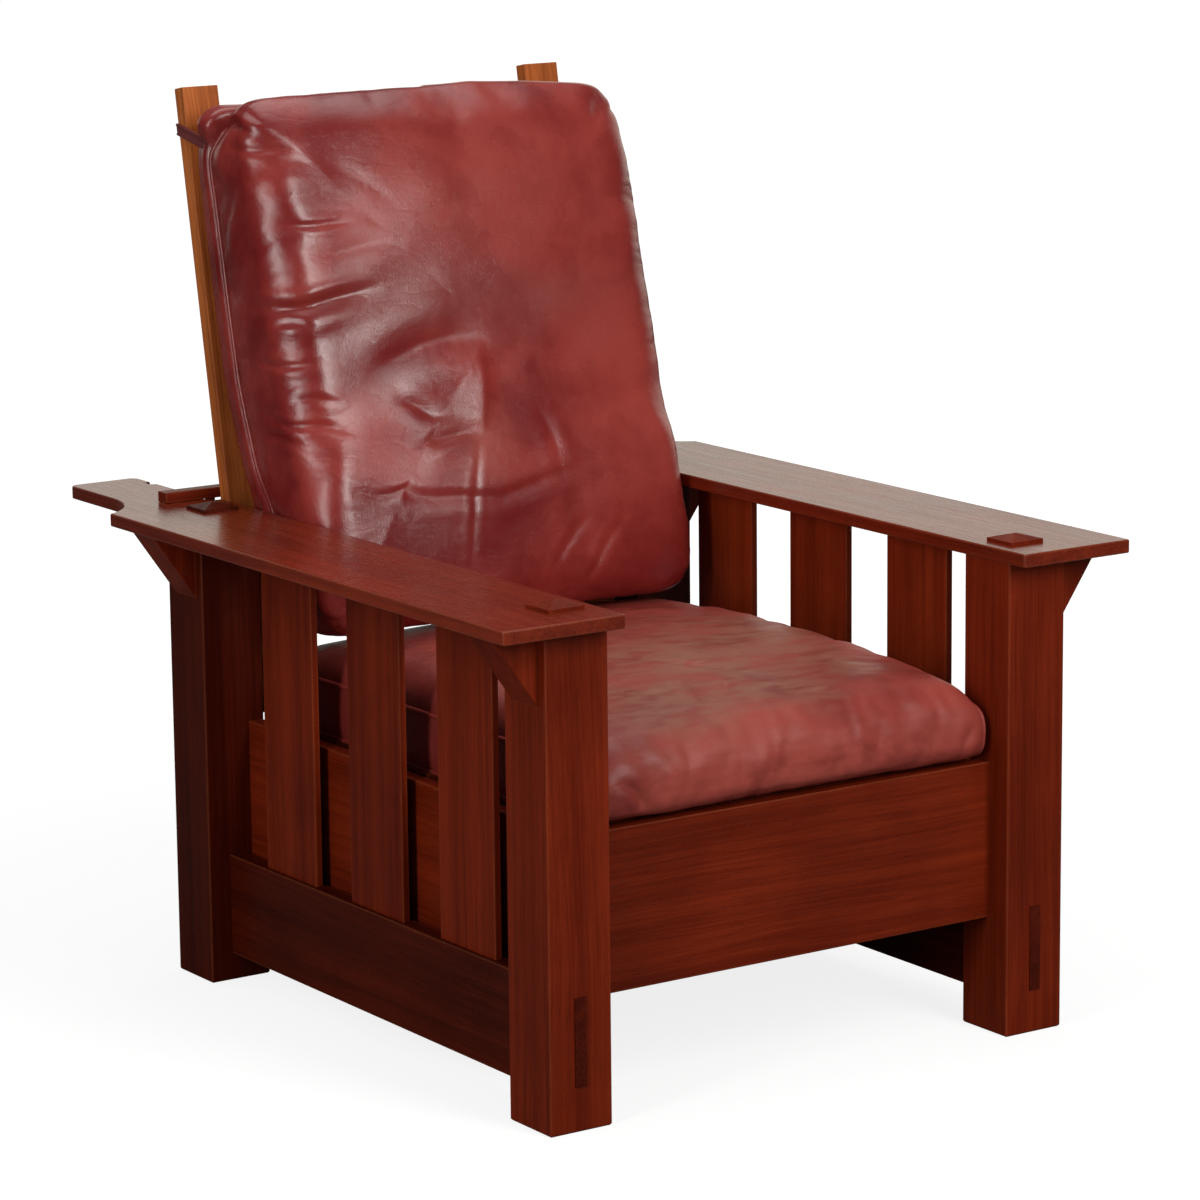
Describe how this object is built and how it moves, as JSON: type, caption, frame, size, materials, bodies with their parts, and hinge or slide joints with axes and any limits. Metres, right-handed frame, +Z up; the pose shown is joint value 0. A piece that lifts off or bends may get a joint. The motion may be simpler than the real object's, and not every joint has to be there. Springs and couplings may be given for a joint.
{
  "type": "mission reclining armchair",
  "caption": "Reclining oak armchair with flat arms, slatted sides and loose leather cushions; the back swings on pins and rests on a movable bar.",
  "frame": {"origin": "on the floor, under the middle of the chair's overall length and width", "axes": "+X to the sitter's left when seated, +Y to the rear, +Z up; the front faces -Y"},
  "size_m": [0.866, 1.074, 1.0784],
  "materials": {
    "fumed_oak": "dark red-brown stained quartersawn oak, satin lacquer with worn edges",
    "inner_oak": "stained oak, dull",
    "cushion_leather": "oxblood leather, worn lighter on the crowns, creased",
    "strap_leather": "dark red leather strap",
    "steel": "plain, dull"
  },
  "bodies": {
    "frame": {"arm_left": "fumed_oak", "arm_right": "fumed_oak", "corbel_front_left": "fumed_oak", "corbel_front_right": "fumed_oak", "corbel_rear_left": "fumed_oak", "corbel_rear_right": "fumed_oak", "front_apron": "fumed_oak", "leg_front_left": "fumed_oak", "leg_front_right": "fumed_oak", "leg_rear_left": "fumed_oak", "leg_rear_right": "fumed_oak", "pivot_pin_left": "steel", "pivot_pin_right": "steel", "pivot_washer_left": "steel", "pivot_washer_right": "steel", "rear_seat_rail": "fumed_oak", "seat_cleat_left": "inner_oak", "seat_cleat_right": "inner_oak", "seat_cleat_screws": "steel", "seat_cushion": "cushion_leather", "seat_side_left": "fumed_oak", "seat_side_right": "fumed_oak", "seat_slat_1": "inner_oak", "seat_slat_2": "inner_oak", "seat_slat_3": "inner_oak", "seat_slat_4": "inner_oak", "seat_slat_5": "inner_oak", "seat_slat_6": "inner_oak", "seat_slat_7": "inner_oak", "seat_slat_screws": "steel", "side_rail_left": "fumed_oak", "side_rail_right": "fumed_oak", "side_slat_left_1": "fumed_oak", "side_slat_left_2": "fumed_oak", "side_slat_left_3": "fumed_oak", "side_slat_right_1": "fumed_oak", "side_slat_right_2": "fumed_oak", "side_slat_right_3": "fumed_oak"},
    "back": {"back_cushion": "cushion_leather", "back_post_left": "fumed_oak", "back_post_right": "fumed_oak", "back_rail": "inner_oak", "back_slat_1": "inner_oak", "back_slat_2": "inner_oak", "back_slat_3": "inner_oak", "back_slat_4": "inner_oak", "back_strap_left": "strap_leather", "back_strap_right": "strap_leather"},
    "bar": {"support_bar": "fumed_oak", "support_bar_pegs": "fumed_oak"}
  },
  "joints": [
    {"name": "back_recline", "type": "hinge", "parent": "frame", "child": "back", "pos_m": [0, 0.29201, 0.345], "axis": [-1, 0, 0], "range_deg": [0, 25]},
    {"name": "bar_shift", "type": "slide", "parent": "frame", "child": "bar", "axis": [0, 1, 0], "range_m": [0, 0.13224]}
  ],
  "couplings": [
    {"joint": "bar_shift", "follows": "back_recline", "m_per_rad": 0.30306}
  ]
}
